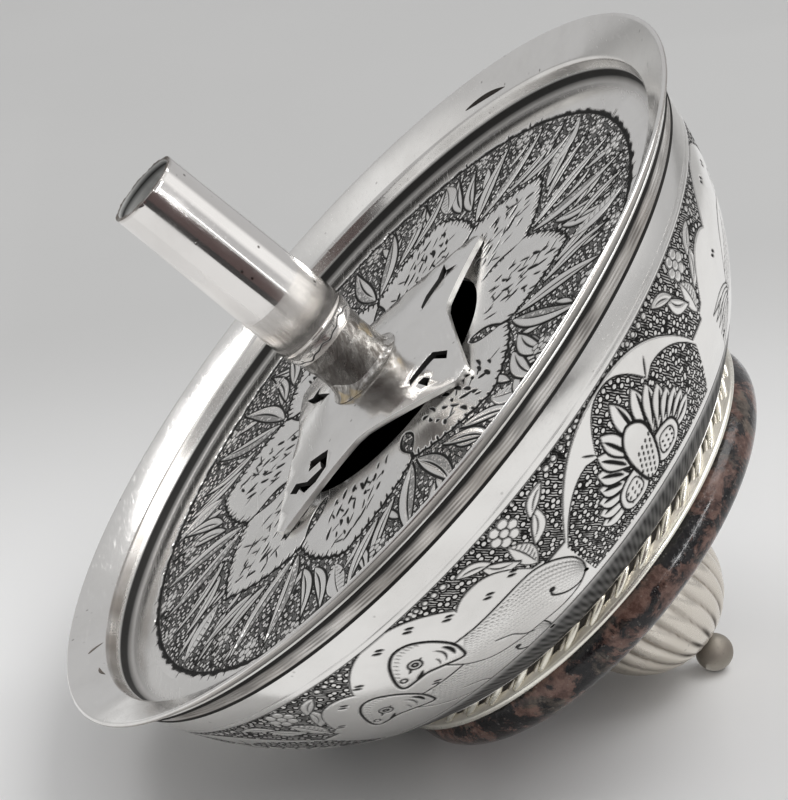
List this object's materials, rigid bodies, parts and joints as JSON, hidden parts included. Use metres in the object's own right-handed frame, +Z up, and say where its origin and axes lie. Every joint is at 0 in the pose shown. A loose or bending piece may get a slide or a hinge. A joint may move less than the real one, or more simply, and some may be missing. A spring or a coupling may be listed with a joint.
{
  "type": "engraved dish fitting",
  "caption": "Flared dish on a raised engraved bowl, with a socket tube on a pierced bracket above and a stone collar and screwed fluted knob below, lying on its side.",
  "frame": {"origin": "on the floor, under the middle of the box around the part as it lies", "axes": "+Z up from the floor, +X the way the knob and its ball point, +Y level and square to the axis of the dish"},
  "size_m": [0.1236, 0.15, 0.1182],
  "materials": {
    "silver": "polished",
    "soldered_tube": "polished",
    "satin_silver": "satin",
    "stone": "polished",
    "leather": "matte",
    "steel": "plain"
  },
  "bodies": {
    "dish": {"tray": "silver", "lip_wire": "silver", "bowl_shell": "silver", "spider_bracket": "silver", "stub_tube": "soldered_tube", "tube_ferrule": "soldered_tube", "sleeve_tube": "soldered_tube", "rope_ring": "satin_silver", "seat_ring": "satin_silver", "packing_washer": "leather", "stone_disc": "stone", "tie_rod": "steel", "rod_washer": "steel", "rod_nut": "steel"},
    "soft_washer": {"leather_washer": "leather"},
    "knob": {"fluted_dome": "satin_silver", "knob_plate": "satin_silver", "finial_collar": "satin_silver", "ball_finial": "satin_silver"}
  },
  "joints": [
    {"name": "knob_lift", "type": "slide", "parent": "dish", "child": "soft_washer", "axis": [0.6611, 0, -0.7503], "range_m": [0, 0.00126]},
    {"name": "knob_turn", "type": "hinge", "parent": "soft_washer", "child": "knob", "pos_m": [0.03221, 0, 0.02576], "axis": [0.6611, 0, -0.7503], "range_deg": [0, 450]}
  ],
  "couplings": [
    {"joint": "knob_lift", "follows": "knob_turn", "m_per_rad": 0.00015915}
  ]
}
